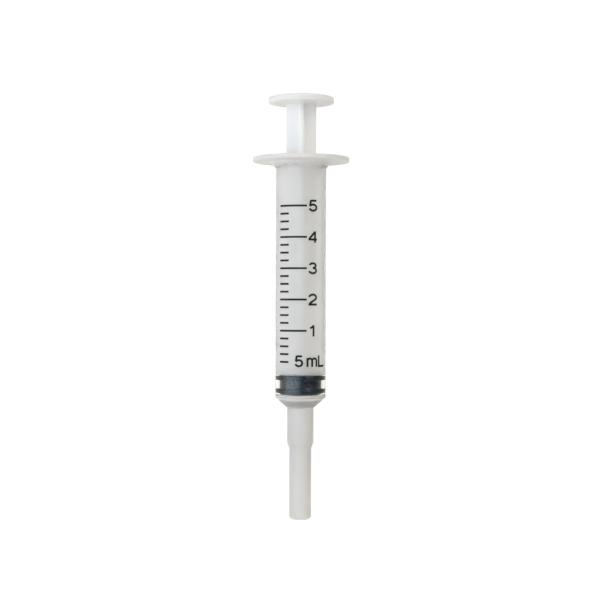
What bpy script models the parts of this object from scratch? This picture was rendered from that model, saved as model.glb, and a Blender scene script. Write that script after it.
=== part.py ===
"""Oral syringe, 5 mL, with a tip cap.

Four pieces, each in its own object: the moulded barrel with its round finger
flange, shoulder and nozzle; the plunger rod with its thumb disc, cross-shaped
stem and snap head; the rubber stopper that the snap head turns in; and the
stepped cap that is pushed over the nozzle.

Metres, +Z from the nozzle towards the thumb disc. The origin is the centre of
the closed lower end of the cap, on the axis of the syringe.
"""

import math

import bmesh
import bpy
from mathutils import Matrix, Vector

MM = 0.001
SEGMENTS = 48  # facets round every turned shape
ARC_STEPS = 2  # facets along each rounded corner

# Barrel bore and graduations. The bore and the scale agree: 1 mL is 1000 mm3.
BORE_R = 6.1
BARREL_R = 7.0

# Heights along the axis, from the closed end of the cap
CAP_RIM_Z = 30.6
LEDGE_Z = 30.9  # lower face of the shoulder, just above the rim of the cap
SHOULDER_Z = 33.85
FLOOR_RIM_Z = 34.25  # where the bore meets the conical floor
FLANGE_BOTTOM_Z = 99.05
FLANGE_TOP_Z = 100.3
THUMB_BOTTOM_Z = 115.3
THUMB_TOP_Z = 117.0

# Finger flange and its root
FLANGE_R = 13.4
FLANGE_EDGE = 0.35
ROOT_RISE = 1.7
MOUTH_R = 6.5
MOUTH_RISE = 0.6
BEAD_Z = 96.0  # retaining bead that keeps the stopper in
BEAD_R = 5.95
BEAD_HALF_FLAT = 0.3
BEAD_HALF = 0.8

# Shoulder and nozzle
LEDGE_R = 3.7
BOSS_R = 2.98
BOSS_END_Z = 22.0
STEP_RISE = 0.6
NOZZLE_TOP_R = 2.25
NOZZLE_END_R = 2.1
NOZZLE_END_Z = 13.6
OUTLET_R = 1.1
FLOOR_SLOPE = (SHOULDER_Z - LEDGE_Z) / (BARREL_R - LEDGE_R)

# Stopper
RIB_R = BORE_R - 0.05
WAIST_R = 5.8
REAR_Z = 40.0
UPPER_RIB_BOTTOM_Z = 38.65
LOWER_RIB_TOP_Z = 36.4
LOWER_RIB_BOTTOM_Z = 35.15
FRONT_Z = 34.65
FRONT_R = 5.4
NOSE_R = 3.6
NOSE_END_R = 2.8
NOSE_GAP = 0.3  # above the conical floor, where the nose rests

# Snap head of the rod, and the socket that holds it
NECK_R = 2.0
HEAD_R = 2.9
HEAD_TOP_Z = 38.4
HEAD_BOTTOM_Z = 36.2
SOCKET_PLAY = 0.2
LIP_R = NECK_R + 0.15
POCKET_R = HEAD_R + 0.15

# Plunger rod
PUSHER_R = 5.6
PUSHER_BOTTOM_Z = REAR_Z + 0.3
PUSHER_TOP_Z = PUSHER_BOTTOM_Z + 1.3
STEM_HALF_WIDTH = 4.145
RIB_HALF_THICKNESS = 0.7
JOIN = 0.5  # how far the stem runs into the disc at each of its ends
THUMB_R = 9.05
THUMB_EDGE = 0.45

# Cap
COLLAR_R = 3.66
COLLAR_BORE_R = 3.06
COLLAR_END_Z = 21.2
TUBE_R = 3.035
TUBE_BORE_R = 2.33
TUBE_TOP_Z = 19.8
CAP_FLOOR_Z = 1.3
CAP_CORNER = 1.1


def clear_scene():
    for ob in list(bpy.data.objects):
        bpy.data.objects.remove(ob, do_unlink=True)


def material(name, colour, roughness, metallic=0.0):
    mat = bpy.data.materials.new(name)
    mat.use_nodes = True
    shader = mat.node_tree.nodes["Principled BSDF"]
    shader.inputs["Base Color"].default_value = (*colour, 1.0)
    shader.inputs["Roughness"].default_value = roughness
    shader.inputs["Metallic"].default_value = metallic
    return mat


def rounded_corner(before, corner, after, radius):
    """Points of an arc of this radius that touches both sides of a corner of an outline."""
    a = (Vector(before) - Vector(corner)).normalized()
    b = (Vector(after) - Vector(corner)).normalized()
    half = a.angle(b) / 2
    reach = radius / math.tan(half)
    centre = Vector(corner) + (a + b).normalized() * (radius / math.sin(half))
    start = Vector(corner) + a * reach - centre
    end = Vector(corner) + b * reach - centre
    sweep = math.copysign(math.pi - 2 * half, start.cross(end))
    spokes = [Matrix.Rotation(sweep * i / ARC_STEPS, 2) @ start for i in range(ARC_STEPS + 1)]
    return [tuple(centre + spoke) for spoke in spokes]


def outline(corners, closed):
    """The (radius, height) points of an outline. A corner with a third number is rounded by it."""
    points = []
    for i, corner in enumerate(corners):
        inner = closed or 0 < i < len(corners) - 1
        if len(corner) == 3 and inner:
            before, after = corners[i - 1], corners[(i + 1) % len(corners)]
            points += rounded_corner(before[:2], corner[:2], after[:2], corner[2])
        else:
            points.append(corner[:2])
    return points


def turned_mesh(name, corners, closed=False):
    """An outline in millimetres turned about Z. An open outline starts and ends on the axis."""
    bm = bmesh.new()
    verts = [bm.verts.new((r * MM, 0.0, z * MM)) for r, z in outline(corners, closed)]
    ends = list(zip(verts, verts[1:] + verts[:1])) if closed else list(zip(verts, verts[1:]))
    edges = [bm.edges.new(pair) for pair in ends]
    bmesh.ops.spin(
        bm,
        geom=verts + edges,
        cent=(0, 0, 0),
        axis=(0, 0, 1),
        angle=2 * math.pi,
        steps=SEGMENTS,
        use_merge=True,
    )
    bmesh.ops.remove_doubles(bm, verts=bm.verts, dist=1e-6)
    return finished_mesh(name, bm)


def finished_mesh(name, bm):
    bmesh.ops.recalc_face_normals(bm, faces=bm.faces)
    if bm.calc_volume(signed=True) < 0:
        bmesh.ops.reverse_faces(bm, faces=bm.faces)
    mesh = bpy.data.meshes.new(name)
    bm.to_mesh(mesh)
    bm.free()
    mesh.shade_smooth()
    mesh.set_sharp_from_angle(angle=math.radians(30))
    return mesh


def add_object(name, mesh, mat):
    ob = bpy.data.objects.new(name, mesh)
    bpy.context.collection.objects.link(ob)
    mesh.materials.append(mat)
    return ob


def join_to(target, tool):
    """Joins a hidden tool object to the target as one solid."""
    tool.hide_render = True
    tool.display_type = "WIRE"
    union = target.modifiers.new(tool.name, "BOOLEAN")
    union.operation = "UNION"
    union.solver = "EXACT"
    union.object = tool


def floor_height(radius):
    """Height of the barrel's conical floor at this radius."""
    return FLOOR_RIM_Z - (BORE_R - radius) * FLOOR_SLOPE


def barrel(mat):
    outside = [
        (MOUTH_R, FLANGE_TOP_Z),
        (FLANGE_R, FLANGE_TOP_Z, FLANGE_EDGE),
        (FLANGE_R, FLANGE_BOTTOM_Z, FLANGE_EDGE),
        (BARREL_R + ROOT_RISE, FLANGE_BOTTOM_Z),
        (BARREL_R, FLANGE_BOTTOM_Z - ROOT_RISE),
        (BARREL_R, SHOULDER_Z, 0.4),
        (LEDGE_R, LEDGE_Z),
    ]
    nozzle = [
        (BOSS_R, LEDGE_Z),
        (BOSS_R, BOSS_END_Z),
        (NOZZLE_TOP_R, BOSS_END_Z - STEP_RISE),
        (NOZZLE_END_R, NOZZLE_END_Z, 0.2),
        (OUTLET_R, NOZZLE_END_Z),
    ]
    bore = [
        (OUTLET_R, floor_height(OUTLET_R)),
        (BORE_R, FLOOR_RIM_Z),
        (BORE_R, BEAD_Z - BEAD_HALF),
        (BEAD_R, BEAD_Z - BEAD_HALF_FLAT),
        (BEAD_R, BEAD_Z + BEAD_HALF_FLAT),
        (BORE_R, BEAD_Z + BEAD_HALF),
        (BORE_R, FLANGE_TOP_Z - MOUTH_RISE),
    ]
    return add_object("barrel", turned_mesh("barrel", outside + nozzle + bore, closed=True), mat)


def stopper(mat):
    nose_z = floor_height(NOSE_END_R) + NOSE_GAP
    outside = [
        (0.0, nose_z),
        (NOSE_END_R, nose_z),
        (NOSE_R, FRONT_Z),
        (FRONT_R, FRONT_Z),
        (RIB_R, LOWER_RIB_BOTTOM_Z),
        (RIB_R, LOWER_RIB_TOP_Z, 0.12),
        (WAIST_R, LOWER_RIB_TOP_Z),
        (WAIST_R, UPPER_RIB_BOTTOM_Z),
        (RIB_R, UPPER_RIB_BOTTOM_Z, 0.12),
        (RIB_R, REAR_Z, 0.2),
    ]
    socket = [
        (LIP_R, REAR_Z),
        (LIP_R, HEAD_TOP_Z + SOCKET_PLAY),
        (POCKET_R, HEAD_TOP_Z + SOCKET_PLAY),
        (POCKET_R, HEAD_BOTTOM_Z - SOCKET_PLAY),
        (0.0, HEAD_BOTTOM_Z - SOCKET_PLAY),
    ]
    return add_object("stopper", turned_mesh("stopper", outside + socket), mat)


def stem_mesh():
    """The cross-shaped stem: one section pulled up from the pusher disc into the thumb disc."""
    w, t = STEM_HALF_WIDTH * MM, RIB_HALF_THICKNESS * MM
    quarter = [(w, -t), (w, t), (t, t)]
    section = []
    for turn in range(4):
        c, s = round(math.cos(turn * math.pi / 2)), round(math.sin(turn * math.pi / 2))
        section += [(x * c - y * s, x * s + y * c) for x, y in quarter]
    bottom, top = (PUSHER_TOP_Z - JOIN) * MM, (THUMB_BOTTOM_Z + JOIN) * MM
    bm = bmesh.new()
    face = bm.faces.new([bm.verts.new((x, y, bottom)) for x, y in section])
    pulled = bmesh.ops.extrude_face_region(bm, geom=[face])["geom"]
    moved = [v for v in pulled if isinstance(v, bmesh.types.BMVert)]
    bmesh.ops.translate(bm, verts=moved, vec=(0, 0, top - bottom))
    return finished_mesh("stem", bm)


def plunger_rod(mat):
    rod = add_object("plunger_rod", stem_mesh(), mat)
    snap_end = [
        (0.0, PUSHER_TOP_Z),
        (PUSHER_R, PUSHER_TOP_Z, 0.2),
        (PUSHER_R, PUSHER_BOTTOM_Z),
        (NECK_R, PUSHER_BOTTOM_Z),
        (NECK_R, HEAD_TOP_Z),
        (HEAD_R, HEAD_TOP_Z),
        (HEAD_R, HEAD_TOP_Z - 0.6),
        (NECK_R, HEAD_BOTTOM_Z),
        (0.0, HEAD_BOTTOM_Z),
    ]
    thumb_disc = [
        (0.0, THUMB_TOP_Z),
        (THUMB_R, THUMB_TOP_Z, THUMB_EDGE),
        (THUMB_R, THUMB_BOTTOM_Z, THUMB_EDGE),
        (0.0, THUMB_BOTTOM_Z),
    ]
    join_to(rod, add_object("snap_end", turned_mesh("snap_end", snap_end), mat))
    join_to(rod, add_object("thumb_disc", turned_mesh("thumb_disc", thumb_disc), mat))
    return rod


def tip_cap(mat):
    corners = [
        (0.0, 0.0),
        (TUBE_R, 0.0, CAP_CORNER),
        (TUBE_R, TUBE_TOP_Z),
        (COLLAR_R, COLLAR_END_Z),
        (COLLAR_R, CAP_RIM_Z, 0.15),
        (COLLAR_BORE_R, CAP_RIM_Z, 0.15),
        (COLLAR_BORE_R, COLLAR_END_Z),
        (TUBE_BORE_R, COLLAR_END_Z - STEP_RISE),
        (TUBE_BORE_R, CAP_FLOOR_Z, 0.6),
        (0.0, CAP_FLOOR_Z),
    ]
    return add_object("tip_cap", turned_mesh("tip_cap", corners), mat)


def main():
    clear_scene()
    clear_plastic = material("barrel_plastic", (0.80, 0.81, 0.80), 0.25)
    white_plastic = material("rod_plastic", (0.86, 0.87, 0.85), 0.35)
    rubber = material("stopper_rubber", (0.035, 0.045, 0.06), 0.45)
    cap_plastic = material("cap_plastic", (0.74, 0.75, 0.73), 0.35)
    barrel(clear_plastic)
    plunger_rod(white_plastic)
    stopper(rubber)
    tip_cap(cap_plastic)


main()
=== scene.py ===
"""Looks of the 5 mL oral syringe: fine meshes, printed scale, materials, stage, light and camera."""

import math

import bmesh
import bpy
from mathutils import Matrix, Vector
from mathutils.geometry import delaunay_2d_cdt


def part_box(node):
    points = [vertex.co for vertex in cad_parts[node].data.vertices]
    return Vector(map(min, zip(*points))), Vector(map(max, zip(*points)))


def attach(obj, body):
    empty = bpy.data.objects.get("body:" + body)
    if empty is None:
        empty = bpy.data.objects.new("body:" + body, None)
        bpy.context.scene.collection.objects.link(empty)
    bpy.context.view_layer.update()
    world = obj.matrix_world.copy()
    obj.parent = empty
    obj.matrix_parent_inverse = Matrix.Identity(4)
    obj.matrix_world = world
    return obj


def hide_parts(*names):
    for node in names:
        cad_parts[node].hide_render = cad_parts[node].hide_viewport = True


MM = 0.001

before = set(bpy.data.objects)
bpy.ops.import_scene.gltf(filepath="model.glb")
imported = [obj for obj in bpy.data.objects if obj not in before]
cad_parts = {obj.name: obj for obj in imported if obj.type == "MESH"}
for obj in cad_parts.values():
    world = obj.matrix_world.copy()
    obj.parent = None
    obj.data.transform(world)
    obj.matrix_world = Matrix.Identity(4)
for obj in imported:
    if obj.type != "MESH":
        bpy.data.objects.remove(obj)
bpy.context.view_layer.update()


def in_mm(node):
    """(lowest corner, highest corner) of a CAD node, in millimetres."""
    lo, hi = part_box(node)
    return lo / MM, hi / MM


BARREL_LO, BARREL_HI = in_mm("barrel")
ROD_LO, ROD_HI = in_mm("plunger_rod")
STOPPER_LO, STOPPER_HI = in_mm("stopper")
CAP_HI = in_mm("tip_cap")[1]

# ---------------------------------------------------------------- sizes, in millimetres
SEGMENTS = 160
ARC_STEPS = 7
# Edges are smooth below these angles, in degrees
SMOOTH_BELOW = 32
JOIN_SMOOTH_BELOW = 28
# Points this near each other are one point, in metres
SAME_POINT = 1e-7

# Barrel
BORE_R = 6.1
BARREL_R = 7.0
FLANGE_R = BARREL_HI.x
FLANGE_TOP_Z = BARREL_HI.z
FLANGE_BOTTOM_Z = FLANGE_TOP_Z - 1.25
FLANGE_EDGE = 0.32
ROOT_RISE = 1.7
MOUTH_R = 6.5
MOUTH_RISE = 0.6
BEAD_Z = 96.0
BEAD_R = 5.95
BEAD_HALF = 0.8
SHOULDER_Z = 33.85
LEDGE_Z = 30.9
LEDGE_R = 3.7
FLOOR_RIM_Z = 34.25
FLOOR_SLOPE = (SHOULDER_Z - LEDGE_Z) / (BARREL_R - LEDGE_R)
BOSS_R = 2.98
BOSS_END_Z = 22.0
STEP_RISE = 0.6
NOZZLE_TOP_R = 2.25
NOZZLE_END_R = 2.1
NOZZLE_END_Z = BARREL_LO.z
OUTLET_R = 1.1

# Stopper. Its ribs are squeezed by the bore, so they press a hair into the wall.
RIB_R = BORE_R + 0.02
WAIST_R = 5.8
REAR_Z = STOPPER_HI.z
UPPER_RIB_BOTTOM_Z = 38.65
LOWER_RIB_TOP_Z = 36.4
LOWER_RIB_BOTTOM_Z = 35.15
FRONT_Z = 34.65
FRONT_R = 5.4
NOSE_R = 3.6
NOSE_END_R = 2.8
NOSE_Z = STOPPER_LO.z

# Plunger rod
NECK_R = 2.0
HEAD_R = 2.9
HEAD_TOP_Z = 38.4
HEAD_BOTTOM_Z = ROD_LO.z
HEAD_RIM = 0.6
SOCKET_PLAY = 0.2
SOCKET_GAP = 0.15
PUSHER_R = 5.6
PUSHER_BOTTOM_Z = REAR_Z + 0.3
PUSHER_TOP_Z = PUSHER_BOTTOM_Z + 1.3
STEM_HALF_WIDTH = 4.145
RIB_HALF_THICKNESS = 0.7
THUMB_R = ROD_HI.x
THUMB_TOP_Z = ROD_HI.z
THUMB_BOTTOM_Z = THUMB_TOP_Z - 1.7
THUMB_EDGE = 0.4
STEM_FLARE = 0.45
FLARE_STEPS = 6
STEM_OVERLAP = 0.4

# Cap
COLLAR_R = CAP_HI.x
COLLAR_BORE_R = 3.06
COLLAR_END_Z = 21.2
CAP_RIM_Z = LEDGE_Z - 0.03
TUBE_R = 3.035
TUBE_BORE_R = 2.33
TUBE_TOP_Z = 19.8
CAP_FLOOR_Z = 1.3
CAP_CORNER = 1.1

# Printed scale
INK_RISE = 0.02
INK_SINK = 0.012
INK_STROKE = 0.53
NUMERAL_STROKE = 0.58
# Longest pieces of a bar's and a stroke's outline, and of a curve in degrees
BAR_STEP = 0.3
STROKE_STEP = 0.25
CURVE_STEP = 9
# delaunay_2d_cdt keeps what is inside the outlines, and makes one point of points this near
KEEP_INSIDE = 1
SAME_INK_POINT = 1e-5
ZERO_Z = 43.82
ML_VOLUME = 1000.0
ML_RISE = ML_VOLUME / (math.pi * BORE_R**2)
MARKS_PER_ML = 4
MARKED_ML = 5
MARK_LEFT = math.radians(-53.6)
MARK_SHORT_RIGHT = math.radians(-28.3)
MARK_LONG_RIGHT = math.radians(13.5)
NUMERAL_HEIGHT = 3.09
NUMERAL_WIDTH = 2.7
NUMERAL_CENTRE = math.radians(28.2)
ONE_WIDTH = 1.35
ONE_CENTRE = math.radians(26.6)
UNIT_RISE = 0.25
# Characters of the unit: centre in degrees round the barrel, width in millimetres
UNIT = (("5", -4.0, 2.3), ("m", 27.0, 3.2), ("L", 53.0, 2.5))


# ---------------------------------------------------------------- shapes
def rounded_corner(before, corner, after, radius):
    """Points of an arc of this radius that touches both sides of a corner of an outline."""
    a = (Vector(before) - Vector(corner)).normalized()
    b = (Vector(after) - Vector(corner)).normalized()
    half = a.angle(b) / 2
    centre = Vector(corner) + (a + b).normalized() * (radius / math.sin(half))
    start = Vector(corner) + a * (radius / math.tan(half)) - centre
    end = Vector(corner) + b * (radius / math.tan(half)) - centre
    sweep = math.copysign(math.pi - 2 * half, start.cross(end))
    spokes = [Matrix.Rotation(sweep * i / ARC_STEPS, 2) @ start for i in range(ARC_STEPS + 1)]
    return [tuple(centre + spoke) for spoke in spokes]


def outline(corners, closed):
    """The points of an outline. A corner with a third number is rounded by it."""
    points = []
    for i, corner in enumerate(corners):
        if len(corner) == 3 and (closed or 0 < i < len(corners) - 1):
            before, after = corners[i - 1], corners[(i + 1) % len(corners)]
            points += rounded_corner(before[:2], corner[:2], after[:2], corner[2])
        else:
            points.append(corner[:2])
    return points


def finished_mesh(name, bm, sharp=SMOOTH_BELOW):
    """A mesh with its faces outwards, smooth but for edges sharper than this many degrees."""
    bmesh.ops.recalc_face_normals(bm, faces=bm.faces)
    if bm.calc_volume(signed=True) < 0:
        bmesh.ops.reverse_faces(bm, faces=bm.faces)
    mesh = bpy.data.meshes.new(name)
    bm.to_mesh(mesh)
    bm.free()
    mesh.shade_smooth()
    mesh.set_sharp_from_angle(angle=math.radians(sharp))
    return mesh


def turned_mesh(name, corners, closed=False):
    """An outline in millimetres turned about Z. An open outline starts and ends on the axis."""
    bm = bmesh.new()
    verts = [bm.verts.new((r * MM, 0.0, z * MM)) for r, z in outline(corners, closed)]
    ends = list(zip(verts, verts[1:] + verts[:1])) if closed else list(zip(verts, verts[1:]))
    edges = [bm.edges.new(pair) for pair in ends]
    bmesh.ops.spin(
        bm,
        geom=verts + edges,
        cent=(0, 0, 0),
        axis=(0, 0, 1),
        angle=2 * math.pi,
        steps=SEGMENTS,
        use_merge=True,
    )
    bmesh.ops.remove_doubles(bm, verts=bm.verts, dist=SAME_POINT)
    return finished_mesh(name, bm)


def add_object(name, mesh, mat=None):
    """A new object in the scene, with this mesh and material."""
    ob = bpy.data.objects.new(name, mesh)
    bpy.context.scene.collection.objects.link(ob)
    if mat is not None:
        mesh.materials.append(mat)
    return ob


def union_mesh(name, meshes):
    """One closed mesh from overlapping ones."""
    base, *tools = [add_object(f"{name}_{i}", mesh) for i, mesh in enumerate(meshes)]
    for tool in tools:
        union = base.modifiers.new(tool.name, "BOOLEAN")
        union.operation = "UNION"
        union.solver = "EXACT"
        union.object = tool
    depsgraph = bpy.context.evaluated_depsgraph_get()
    joined = bpy.data.meshes.new_from_object(base.evaluated_get(depsgraph))
    for ob in [base, *tools]:
        bpy.data.objects.remove(ob)
    bm = bmesh.new()
    bm.from_mesh(joined)
    bmesh.ops.remove_doubles(bm, verts=bm.verts, dist=SAME_POINT)
    return finished_mesh(name, bm, sharp=JOIN_SMOOTH_BELOW)


# ---------------------------------------------------------------- barrel, stopper and cap
def floor_height(radius):
    """Height of the barrel's conical floor at this radius."""
    return FLOOR_RIM_Z - (BORE_R - radius) * FLOOR_SLOPE


def barrel_mesh():
    """One turned moulding: down its outside from the flange to the nozzle, and up the bore to the mouth."""
    outside = [
        (MOUTH_R, FLANGE_TOP_Z, 0.15),
        (FLANGE_R, FLANGE_TOP_Z, FLANGE_EDGE),
        (FLANGE_R, FLANGE_BOTTOM_Z, FLANGE_EDGE),
        (BARREL_R + ROOT_RISE, FLANGE_BOTTOM_Z, 0.4),
        (BARREL_R, FLANGE_BOTTOM_Z - ROOT_RISE, 0.5),
        (BARREL_R, SHOULDER_Z, 0.35),
        (LEDGE_R, LEDGE_Z, 0.12),
    ]
    nozzle = [
        (BOSS_R, LEDGE_Z),
        (BOSS_R, BOSS_END_Z, 0.2),
        (NOZZLE_TOP_R, BOSS_END_Z - STEP_RISE, 0.2),
        (NOZZLE_END_R, NOZZLE_END_Z, 0.2),
        (OUTLET_R, NOZZLE_END_Z, 0.1),
    ]
    bore = [
        (OUTLET_R, floor_height(OUTLET_R), 0.4),
        (BORE_R, FLOOR_RIM_Z, 0.15),
        (BORE_R, BEAD_Z - BEAD_HALF, 0.5),
        (BEAD_R, BEAD_Z, 1.5),
        (BORE_R, BEAD_Z + BEAD_HALF, 0.5),
        (BORE_R, FLANGE_TOP_Z - MOUTH_RISE, 0.3),
    ]
    return turned_mesh("barrel", outside + nozzle + bore, closed=True)


def stopper_mesh():
    """Nose, two ribs with a waist between them, and the socket for the rod's head."""
    outside = [
        (0.0, NOSE_Z),
        (NOSE_END_R, NOSE_Z, 0.35),
        (NOSE_R, FRONT_Z, 0.25),
        (FRONT_R, FRONT_Z, 0.3),
        (RIB_R, LOWER_RIB_BOTTOM_Z, 0.15),
        (RIB_R, LOWER_RIB_TOP_Z, 0.12),
        (WAIST_R, LOWER_RIB_TOP_Z, 0.1),
        (WAIST_R, UPPER_RIB_BOTTOM_Z, 0.1),
        (RIB_R, UPPER_RIB_BOTTOM_Z, 0.12),
        (RIB_R, REAR_Z, 0.25),
    ]
    socket = [
        (NECK_R + SOCKET_GAP, REAR_Z, 0.1),
        (NECK_R + SOCKET_GAP, HEAD_TOP_Z + SOCKET_PLAY),
        (HEAD_R + SOCKET_GAP, HEAD_TOP_Z + SOCKET_PLAY),
        (HEAD_R + SOCKET_GAP, HEAD_BOTTOM_Z - SOCKET_PLAY),
        (0.0, HEAD_BOTTOM_Z - SOCKET_PLAY),
    ]
    return turned_mesh("stopper", outside + socket)


def cap_mesh():
    """A sleeve with a closed lower end and a wider collar at its mouth."""
    corners = [
        (0.0, 0.0),
        (TUBE_R, 0.0, CAP_CORNER),
        (TUBE_R, TUBE_TOP_Z, 0.3),
        (COLLAR_R, COLLAR_END_Z, 0.3),
        (COLLAR_R, CAP_RIM_Z, 0.15),
        (COLLAR_BORE_R, CAP_RIM_Z, 0.15),
        (COLLAR_BORE_R, COLLAR_END_Z, 0.3),
        (TUBE_BORE_R, COLLAR_END_Z - STEP_RISE, 0.3),
        (TUBE_BORE_R, CAP_FLOOR_Z, 0.8),
        (0.0, CAP_FLOOR_Z),
    ]
    return turned_mesh("tip_cap", corners)


# ---------------------------------------------------------------- plunger rod
def cross_section(spread):
    """The stem's cross-shaped outline, grown outwards by spread, with rounded rib edges and roots."""
    w, t = STEM_HALF_WIDTH + spread, RIB_HALF_THICKNESS + spread
    quarter = [(w, -t, 0.22), (w, t, 0.22), (t, t, 0.35)]
    corners = []
    for turn in range(4):
        c, s = round(math.cos(turn * math.pi / 2)), round(math.sin(turn * math.pi / 2))
        corners += [(x * c - y * s, x * s + y * c, r) for x, y, r in quarter]
    return outline(corners, closed=True)


def stem_mesh():
    """The stem, flared a little where it meets the pusher disc and the thumb disc."""
    turns = [math.pi / 2 * i / FLARE_STEPS for i in range(FLARE_STEPS + 1)]
    flares = [(STEM_FLARE * (1 - math.cos(t)), STEM_FLARE * (1 - math.sin(t))) for t in turns]
    low = [(PUSHER_TOP_Z + rise, spread) for rise, spread in flares]
    high = [(THUMB_BOTTOM_Z - rise, spread) for rise, spread in reversed(flares)]
    low_end = (PUSHER_TOP_Z - STEM_OVERLAP, STEM_FLARE)
    high_end = (THUMB_BOTTOM_Z + STEM_OVERLAP, STEM_FLARE)
    bm = bmesh.new()
    rings = []
    for z, spread in [low_end, *low, *high, high_end]:
        rings.append([bm.verts.new((x * MM, y * MM, z * MM)) for x, y in cross_section(spread)])
    for below, above in zip(rings, rings[1:]):
        for i in range(len(below)):
            j = (i + 1) % len(below)
            bm.faces.new((below[i], below[j], above[j], above[i]))
    bm.faces.new(rings[0][::-1])
    bm.faces.new(rings[-1])
    return finished_mesh("stem", bm)


def rod_mesh():
    """One moulding: snap head, neck, pusher disc, stem and thumb disc."""
    snap_end = [
        (0.0, PUSHER_TOP_Z),
        (PUSHER_R, PUSHER_TOP_Z, 0.3),
        (PUSHER_R, PUSHER_BOTTOM_Z, 0.3),
        (NECK_R, PUSHER_BOTTOM_Z, 0.1),
        (NECK_R, HEAD_TOP_Z),
        (HEAD_R, HEAD_TOP_Z, 0.15),
        (HEAD_R, HEAD_TOP_Z - HEAD_RIM, 0.15),
        (NECK_R, HEAD_BOTTOM_Z, 0.3),
        (0.0, HEAD_BOTTOM_Z),
    ]
    thumb_disc = [
        (0.0, THUMB_TOP_Z),
        (THUMB_R, THUMB_TOP_Z, THUMB_EDGE),
        (THUMB_R, THUMB_BOTTOM_Z, THUMB_EDGE),
        (0.0, THUMB_BOTTOM_Z),
    ]
    parts = [stem_mesh(), turned_mesh("snap_end", snap_end), turned_mesh("thumb_disc", thumb_disc)]
    return union_mesh("plunger_rod", parts)


# ---------------------------------------------------------------- printed scale
def arc(cx, cy, rx, ry, start, stop):
    """Points on part of an ellipse, angles in degrees."""
    steps = max(6, round(abs(stop - start) / CURVE_STEP))
    angles = [math.radians(start + (stop - start) * i / steps) for i in range(steps + 1)]
    return [(cx + rx * math.cos(a), cy + ry * math.sin(a)) for a in angles]


# Strokes of each character, on a grid where a numeral is 1 high, with each character's own width
GLYPHS = {
    "1": (0.36, [[(0.30, 0.0), (0.30, 1.0)], [(0.02, 0.755), (0.13, 0.775), (0.22, 0.84), (0.27, 0.965)]]),
    "2": (0.72, [arc(0.36, 0.69, 0.29, 0.25, 172, -30) + [(0.48, 0.44), (0.18, 0.22), (0.08, 0.06)],
                 [(0.02, 0.06), (0.70, 0.06)]]),
    "3": (0.72, [arc(0.35, 0.735, 0.25, 0.205, 168, -90), arc(0.35, 0.295, 0.29, 0.235, 90, -170)]),
    "4": (0.72, [[(0.53, 0.0), (0.53, 1.0)], [(0.50, 0.93), (0.06, 0.33)], [(0.0, 0.28), (0.70, 0.28)]]),
    "5": (0.72, [[(0.20, 0.94), (0.64, 0.94)], [(0.19, 1.0), (0.11, 0.47)],
                 arc(0.36, 0.33, 0.29, 0.27, 150, -165)]),
    "m": (1.0, [[(0.07, 0.0), (0.07, 0.80)], arc(0.285, 0.52, 0.215, 0.22, 175, 0) + [(0.50, 0.0)],
                arc(0.715, 0.52, 0.215, 0.22, 175, 0) + [(0.93, 0.0)]]),
    "L": (0.60, [[(0.07, 0.0), (0.07, 1.0)], [(0.0, 0.06), (0.60, 0.06)]]),
}


def stroke_outline(points, width):
    """The closed outline, anticlockwise, of a stroke of this width along a line of points."""
    left, right = [], []
    for i, point in enumerate(points):
        before, after = Vector(points[max(i - 1, 0)]), Vector(points[min(i + 1, len(points) - 1)])
        along = (after - before).normalized()
        side = Vector((-along.y, along.x)) * width / 2
        left.append(Vector(point) + side)
        right.append(Vector(point) - side)
    return right + left[::-1]


def subdivided(ring, longest):
    """A closed outline with no edge longer than this."""
    points = []
    for a, b in zip(ring, ring[1:] + ring[:1]):
        pieces = max(1, math.ceil((b - a).length / longest))
        points += [a.lerp(b, i / pieces) for i in range(pieces)]
    return points


def add_print(bm, rings):
    """Thin ink on the barrel in the shape of flat outlines: x along its girth, y up it, in millimetres."""
    flat, loops = [], []
    for ring in rings:
        loops.append(list(range(len(flat), len(flat) + len(ring))))
        flat += ring
    points, _, faces, _, _, owners = delaunay_2d_cdt(flat, [], loops, KEEP_INSIDE, SAME_INK_POINT)
    shown = [face for face, owner in zip(faces, owners) if owner]

    def layer(radius):
        placed = {}
        for index in sorted({i for face in shown for i in face}):
            angle = points[index].x / BARREL_R
            spot = (radius * math.sin(angle), -radius * math.cos(angle), points[index].y)
            placed[index] = bm.verts.new(Vector(spot) * MM)
        return placed

    top, bottom = layer(BARREL_R + INK_RISE), layer(BARREL_R - INK_SINK)
    # A side wall stands on each edge that only one face has
    sides = {}
    for face in shown:
        bm.faces.new([top[i] for i in face])
        bm.faces.new([bottom[i] for i in reversed(face)])
        for a, b in zip(face, face[1:] + face[:1]):
            if (b, a) in sides:
                del sides[(b, a)]
            else:
                sides[(a, b)] = True
    for a, b in sides:
        bm.faces.new((top[b], top[a], bottom[a], bottom[b]))


def bar_rings(left, right, z):
    """The outline of a scale line between these angles round the barrel, at this height."""
    half = INK_STROKE / 2
    x0, x1 = left * BARREL_R, right * BARREL_R
    corners = [(x0, z - half), (x1, z - half), (x1, z + half), (x0, z + half)]
    return [subdivided([Vector(c) for c in corners], BAR_STEP)]


def glyph_rings(character, centre, width, foot, height):
    """Outlines of a character whose middle stands at this angle round the barrel."""
    grid_width, strokes = GLYPHS[character]
    across = width / grid_width
    left = centre * BARREL_R - width / 2
    rings = []
    for stroke in strokes:
        points = [(left + x * across, foot + y * height) for x, y in stroke]
        rings.append(subdivided(stroke_outline(points, NUMERAL_STROKE), STROKE_STEP))
    return rings


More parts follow.
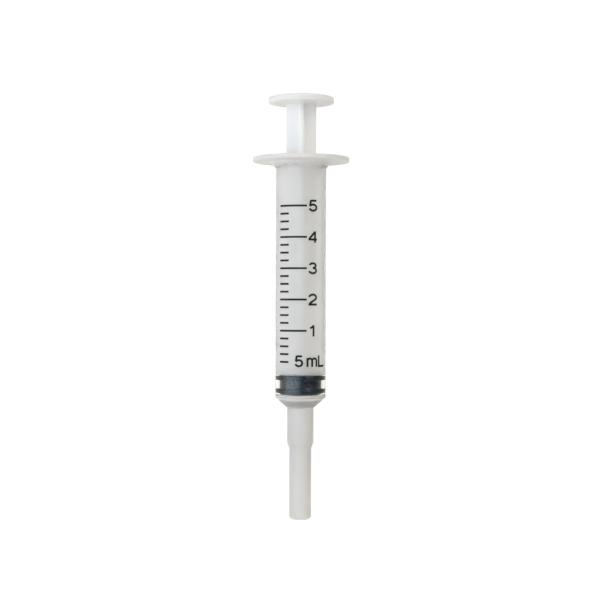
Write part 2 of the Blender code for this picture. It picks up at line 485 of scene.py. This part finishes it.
def scale_mesh():
    """Four lines to the millilitre. The whole ones are longer, with a numeral, and zero has the unit."""
    bm = bmesh.new()
    for mark in range(MARKED_ML * MARKS_PER_ML + 1):
        z = ZERO_Z + ML_RISE * mark / MARKS_PER_ML
        whole = mark > 0 and mark % MARKS_PER_ML == 0
        add_print(bm, bar_rings(MARK_LEFT, MARK_LONG_RIGHT if whole else MARK_SHORT_RIGHT, z))
    for ml in range(1, MARKED_ML + 1):
        foot = ZERO_Z + ML_RISE * ml - NUMERAL_HEIGHT / 2
        centre, width = (ONE_CENTRE, ONE_WIDTH) if ml == 1 else (NUMERAL_CENTRE, NUMERAL_WIDTH)
        add_print(bm, glyph_rings(str(ml), centre, width, foot, NUMERAL_HEIGHT))
    foot = ZERO_Z + UNIT_RISE - NUMERAL_HEIGHT / 2
    for character, centre, width in UNIT:
        add_print(bm, glyph_rings(character, math.radians(centre), width, foot, NUMERAL_HEIGHT))
    return finished_mesh("printed_scale", bm)


# ---------------------------------------------------------------- materials
BARREL_INDEX = 1.3
FILM = 0.28
FILM_START_Z = 40.0
FILM_FULL_Z = 40.3
WALL_INSIDE_R = 6.4
WALL_OUTSIDE_R = 6.6
FLANGE_HAZE_START_Z = 97.3
FLANGE_HAZE_FULL_Z = 98.5
FLANGE_HAZE = 0.8
CLEAR_DEPTH = 0.0006
MILKY_DEPTH = 0.003
ROD_DEPTH = 0.006
GLOSS = 0.06
BORE_ROUGHNESS = 0.50
FLANGE_ROUGHNESS = 0.30
# How rough the shoulder and the nozzle are, by height in millimetres. The lowest value holds below it.
SHOULDER_ROUGHNESS = ((33.0, 0.55), (33.5, 0.30), (34.4, 0.30), (34.9, GLOSS))
# How milky the shoulder and the nozzle are, by height in millimetres. The lowest value holds below it.
# Milky where the plastic is thick. The narrow fully milky bands near 31, 33.5 and 34.15 mm are painted
# highlights: bright lines where the shoulder's edges catch the light.
SHOULDER_HAZE_AND_HIGHLIGHTS = (
    (30.5, 0.4),
    (30.8, 1.0),
    (31.15, 1.0),
    (31.45, 0.34),
    (33.1, 0.34),
    (33.4, 1.0),
    (33.65, 1.0),
    (33.9, 0.2),
    (34.0, 0.4),
    (34.15, 1.0),
    (34.35, 0.35),
    (34.6, 0.2),
    (34.8, 0.05),
    (34.9, 0.0),
)


# Sockets of a Mix node that mixes colours
MIX_FACTOR = 0
MIX_FIRST = 6
MIX_SECOND = 7
MIX_RESULT = 2


class Nodes:
    """A material and short calls that add its nodes."""

    def __init__(self, name):
        self.mat = bpy.data.materials.new(name)
        self.mat.use_nodes = True
        self.tree = self.mat.node_tree
        self.shader = self.tree.nodes["Principled BSDF"]
        self.place = self.tree.nodes.new("ShaderNodeTexCoord").outputs["Object"]

    def add(self, kind, inputs=None, **settings):
        """A new node, with values or links for its inputs."""
        node = self.tree.nodes.new(kind)
        for name, value in settings.items():
            setattr(node, name, value)
        for name, value in (inputs or {}).items():
            self.put(node.inputs[name], value)
        return node

    def put(self, socket, value):
        """Links an output to this socket, or sets its value."""
        if isinstance(value, bpy.types.NodeSocket):
            self.tree.links.new(value, socket)
        else:
            socket.default_value = value

    def set(self, **inputs):
        """Inputs of the shader, with an underscore for each space in their names."""
        for name, value in inputs.items():
            self.put(self.shader.inputs[name.replace("_", " ")], value)

    def math(self, operation, a, b):
        return self.add("ShaderNodeMath", {0: a, 1: b}, operation=operation).outputs[0]

    def radius(self):
        """Distance from the syringe's axis."""
        values = {0: self.place, 1: (1, 1, 0)}
        flat = self.add("ShaderNodeVectorMath", values, operation="MULTIPLY").outputs[0]
        return self.add("ShaderNodeVectorMath", {0: flat}, operation="LENGTH").outputs["Value"]

    def height(self):
        return self.add("ShaderNodeSeparateXYZ", {"Vector": self.place}).outputs["Z"]

    def translucent(self, depth):
        """Light that doesn't go straight through wanders this far in the plastic."""
        self.set(Subsurface_Weight=1.0, Subsurface_Scale=depth, Subsurface_Radius=(1, 1, 1))

    def noise(self, scale, detail=3.0, stretch=(1, 1, 1), roughness=0.5):
        mapped = self.add("ShaderNodeMapping", {"Vector": self.place, "Scale": stretch}).outputs[0]
        values = {"Vector": mapped, "Scale": scale, "Detail": detail, "Roughness": roughness}
        return self.add("ShaderNodeTexNoise", values).outputs["Fac"]

    def ranged(self, value, low, high, start=0.3, stop=0.7):
        """Low where the value is at start, high where it is at stop, and straight between."""
        values = {"Value": value, "From Min": start, "From Max": stop, "To Min": low, "To Max": high}
        return self.add("ShaderNodeMapRange", values).outputs["Result"]

    def ramp(self, value, stops):
        """A value with straight lines between stops of (height in millimetres, value)."""
        low, high = stops[0][0], stops[-1][0]
        node = self.add("ShaderNodeValToRGB", {"Fac": self.ranged(value, 0.0, 1.0, low * MM, high * MM)})
        for i, (place, level) in enumerate(stops):
            at = (place - low) / (high - low)
            stop = node.color_ramp.elements[i] if i < 2 else node.color_ramp.elements.new(at)
            stop.position, stop.color = at, (level, level, level, 1)
        return node.outputs["Color"]

    def blend(self, factor, first, second):
        mix = self.add("ShaderNodeMix", data_type="RGBA")
        self.put(mix.inputs[MIX_FACTOR], factor)
        self.put(mix.inputs[MIX_FIRST], first)
        self.put(mix.inputs[MIX_SECOND], second)
        return mix.outputs[MIX_RESULT]

    def bump(self, height, strength, distance):
        values = {"Height": height, "Strength": strength, "Distance": distance}
        return self.add("ShaderNodeBump", values).outputs["Normal"]


def barrel_material():
    """A clear wall with a faint film outside, above the resting stopper, and a dull bore.

    The flange, the shoulder and the nozzle are milky, because they are thick. Narrow fully milky bands on
    the shoulder's edges are painted highlights.
    """
    n = Nodes("barrel_plastic")
    streaks = n.noise(420, detail=4, stretch=(1, 1, 0.05))
    clouds = n.noise(160, detail=3)
    colour = n.blend(n.ranged(clouds, 0, 1), (0.985, 0.985, 0.98, 1), (1.0, 1.0, 0.995, 1))
    height = n.height()
    above = n.ranged(height, 0.0, 1.0, FILM_START_Z * MM, FILM_FULL_Z * MM)
    inside = n.ranged(n.radius(), 1.0, 0.0, WALL_INSIDE_R * MM, WALL_OUTSIDE_R * MM)
    bore = n.math("MULTIPLY", inside, above)
    outside = n.math("SUBTRACT", 1.0, inside)
    film = n.math("MULTIPLY", FILM, n.math("MULTIPLY", above, outside))
    flange = n.ranged(height, 0.0, FLANGE_HAZE, FLANGE_HAZE_START_Z * MM, FLANGE_HAZE_FULL_Z * MM)
    # Painted highlights: the ramp's narrow fully milky bands brighten the shoulder's edges as bright lines
    shoulder = n.ramp(height, SHOULDER_HAZE_AND_HIGHLIGHTS)
    haze_and_highlights = n.math("MAXIMUM", film, n.math("MAXIMUM", flange, shoulder))
    dull_bore = n.ranged(bore, GLOSS, BORE_ROUGHNESS, 0.0, 0.4)
    dull_flange = n.ranged(flange, GLOSS, FLANGE_ROUGHNESS, 0.0, 0.4)
    dull_shoulder = n.ramp(height, SHOULDER_ROUGHNESS)
    dull = n.math("MAXIMUM", dull_bore, n.math("MAXIMUM", dull_flange, dull_shoulder))
    roughness = n.math("ADD", dull, n.ranged(streaks, -0.02, 0.05))
    n.set(Base_Color=colour, IOR=BARREL_INDEX, Roughness=roughness)
    n.set(Transmission_Weight=n.math("SUBTRACT", 1.0, haze_and_highlights))
    n.translucent(n.ranged(n.math("MAXIMUM", flange, shoulder), CLEAR_DEPTH, MILKY_DEPTH, 0.0, 0.4))
    n.set(Normal=n.bump(streaks, 0.05, 0.00002))
    return n.mat


def rod_material():
    """Milky white plastic that light wanders far into."""
    n = Nodes("rod_plastic")
    flow = n.noise(300, detail=4, stretch=(1, 1, 0.12))
    colour = n.blend(n.ranged(flow, 0, 1), (0.95, 0.95, 0.94, 1), (0.97, 0.97, 0.96, 1))
    n.set(Base_Color=colour, IOR=1.49)
    n.translucent(ROD_DEPTH)
    n.set(Roughness=n.ranged(flow, 0.42, 0.55))
    n.set(Normal=n.bump(n.noise(1800, detail=3), 0.06, 0.00005))
    return n.mat


def rubber_material():
    """Blue-black rubber with a fine grain and a soft sheen."""
    n = Nodes("stopper_rubber")
    grain = n.noise(2600, detail=3)
    bloom = n.noise(500, detail=4, stretch=(1, 1, 2))
    colour = n.blend(n.ranged(bloom, 0, 1), (0.002, 0.005, 0.009, 1), (0.004, 0.009, 0.014, 1))
    n.set(Base_Color=colour, IOR=1.7, Roughness=n.ranged(grain, 0.24, 0.36))
    n.set(Specular_Tint=(0.76, 0.90, 1.0, 1))
    n.set(Normal=n.bump(grain, 0.15, 0.00004))
    return n.mat


def cap_material():
    """Milky plastic that lets some light straight through, with faint flow streaks along it."""
    n = Nodes("cap_plastic")
    streaks = n.noise(380, detail=4, stretch=(1, 1, 0.06))
    clouds = n.noise(220, detail=3)
    colour = n.blend(n.ranged(clouds, 0, 1), (0.97, 0.97, 0.96, 1), (0.99, 0.99, 0.98, 1))
    n.set(Base_Color=colour, IOR=1.5, Transmission_Weight=0.45)
    n.translucent(CLEAR_DEPTH)
    n.set(Roughness=n.ranged(streaks, 0.40, 0.55))
    n.set(Normal=n.bump(streaks, 0.08, 0.0002))
    return n.mat


def ink_material():
    """Matt black ink, a little uneven."""
    n = Nodes("scale_ink")
    wear = n.noise(2200, detail=5)
    colour = n.blend(n.ranged(wear, 0, 1, 0.35, 0.75), (0.002, 0.002, 0.0025, 1), (0.008, 0.008, 0.009, 1))
    n.set(Base_Color=colour, Specular_IOR_Level=0.2, Roughness=n.ranged(wear, 0.6, 0.8))
    n.set(Normal=n.bump(wear, 0.1, 0.00003))
    return n.mat


# ---------------------------------------------------------------- assembly
def place_piece(name, mesh, mat, body, node=None):
    """A visible piece that rides on a body and, if a node is named, is shown in its place."""
    ob = add_object(name, mesh, mat)
    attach(ob, body)
    if node is not None:
        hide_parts(node)
    return ob


def build_syringe():
    place_piece("barrel_shell", barrel_mesh(), barrel_material(), "barrel", "barrel")
    place_piece("plunger", rod_mesh(), rod_material(), "plunger_rod", "plunger_rod")
    place_piece("rubber_stopper", stopper_mesh(), rubber_material(), "stopper", "stopper")
    place_piece("nozzle_cap", cap_mesh(), cap_material(), "tip_cap", "tip_cap")
    place_piece("printed_scale", scale_mesh(), ink_material(), "barrel")


# ---------------------------------------------------------------- stage, light and camera
STAGE_Z = -0.06
STAGE_R = 0.25
STAGE_SEGMENTS = 96
STAGE_GLOW = (0.75, 0.70, 0.63, 1)
CAMERA_Z = 0.0608
CAMERA_DISTANCE = 0.3972
CAMERA_LENS = 85.8
CAMERA_CLIP = 0.01
# The syringe is seen this far off the middle and leaning by this much
CAMERA_X = -0.0002
CAMERA_ROLL = math.radians(-0.18)

BACKDROP = (1.05, 1.05, 1.05, 1)
# What the room gives from everywhere
ROOM_FILL = (0.15, 0.15, 0.15)
# Where it is brighter: direction, cosines where that begins and is full, and radiance
ROOM_LIGHT = (
    ((0, 1, 0), 0.50, 0.97, (0.57, 0.55, 0.54)),
    ((-1, 1, 0), 0.60, 0.97, (0.40, 0.42, 0.42)),
    ((1, 1, 0), 0.60, 0.97, (0.30, 0.33, 0.31)),
    ((-1, -1, 0), 0.60, 0.97, (1.60, 1.77, 1.85)),
    ((-1, 0, 0), 0.60, 0.97, (0.30, 0.22, 0.18)),
    ((0, -1, 0), 0.70, 0.97, (0.00, 0.00, 0.12)),
    ((0.6, -0.6, 0.5), 0.85, 0.97, (2.90, 2.75, 2.35)),
)


def white_to_camera(tree, seen_by_object):
    """White where the camera looks, and this colour to every other ray."""
    shown = tree.nodes.new("ShaderNodeMix")
    shown.data_type = "RGBA"
    path = tree.nodes.new("ShaderNodeLightPath")
    tree.links.new(path.outputs["Is Camera Ray"], shown.inputs[MIX_FACTOR])
    if isinstance(seen_by_object, bpy.types.NodeSocket):
        tree.links.new(seen_by_object, shown.inputs[MIX_FIRST])
    else:
        shown.inputs[MIX_FIRST].default_value = seen_by_object
    shown.inputs[MIX_SECOND].default_value = BACKDROP
    return shown.outputs[MIX_RESULT]


def add_floor():
    """A pale round floor below everything that moves, lit like a light table, so it shows no edge."""
    bm = bmesh.new()
    bmesh.ops.create_circle(bm, cap_ends=True, segments=STAGE_SEGMENTS, radius=STAGE_R)
    bmesh.ops.translate(bm, verts=bm.verts, vec=(0, 0, STAGE_Z))
    mesh = bpy.data.meshes.new("floor")
    bm.to_mesh(mesh)
    bm.free()
    mat = bpy.data.materials.new("stage_white")
    mat.use_nodes = True
    tree = mat.node_tree
    tree.nodes.clear()
    light = tree.nodes.new("ShaderNodeEmission")
    tree.links.new(white_to_camera(tree, STAGE_GLOW), light.inputs["Color"])
    out = tree.nodes.new("ShaderNodeOutputMaterial")
    tree.links.new(light.outputs[0], out.inputs["Surface"])
    floor = add_object("floor", mesh, mat)


def set_world():
    """White to the camera. The light is soft and comes from the front left, the front right and behind."""
    world = bpy.data.worlds.new("studio")
    bpy.context.scene.world = world
    world.use_nodes = True
    tree = world.node_tree
    tree.nodes.clear()
    way = tree.nodes.new("ShaderNodeTexCoord").outputs["Generated"]

    def vector(operation, a, b):
        node = tree.nodes.new("ShaderNodeVectorMath")
        node.operation = operation
        for socket, value in zip(node.inputs, (a, b)):
            if isinstance(value, bpy.types.NodeSocket):
                tree.links.new(value, socket)
            else:
                socket.default_value = value
        return node.outputs["Value" if operation == "DOT_PRODUCT" else "Vector"]

    total = ROOM_FILL
    for direction, start, stop, radiance in ROOM_LIGHT:
        level = tree.nodes.new("ShaderNodeMapRange")
        level.interpolation_type = "SMOOTHSTEP"
        towards = vector("DOT_PRODUCT", way, Vector(direction).normalized())
        tree.links.new(towards, level.inputs["Value"])
        level.inputs["From Min"].default_value = start
        level.inputs["From Max"].default_value = stop
        lobe = vector("MULTIPLY", level.outputs["Result"], radiance)
        total = vector("ADD", total, lobe)
    background = tree.nodes.new("ShaderNodeBackground")
    tree.links.new(white_to_camera(tree, total), background.inputs["Color"])
    out = tree.nodes.new("ShaderNodeOutputWorld")
    tree.links.new(background.outputs[0], out.inputs["Surface"])


def add_camera():
    data = bpy.data.cameras.new("camera")
    data.lens = CAMERA_LENS
    data.clip_start = CAMERA_CLIP
    camera = bpy.data.objects.new("camera", data)
    camera.location = (CAMERA_X, -CAMERA_DISTANCE, CAMERA_Z)
    camera.rotation_euler = (math.pi / 2, CAMERA_ROLL, 0)
    bpy.context.scene.collection.objects.link(camera)
    bpy.context.scene.camera = camera


def build_stage():
    add_floor()
    set_world()
    add_camera()
    bpy.context.scene.view_settings.view_transform = "Standard"


build_syringe()
build_stage()
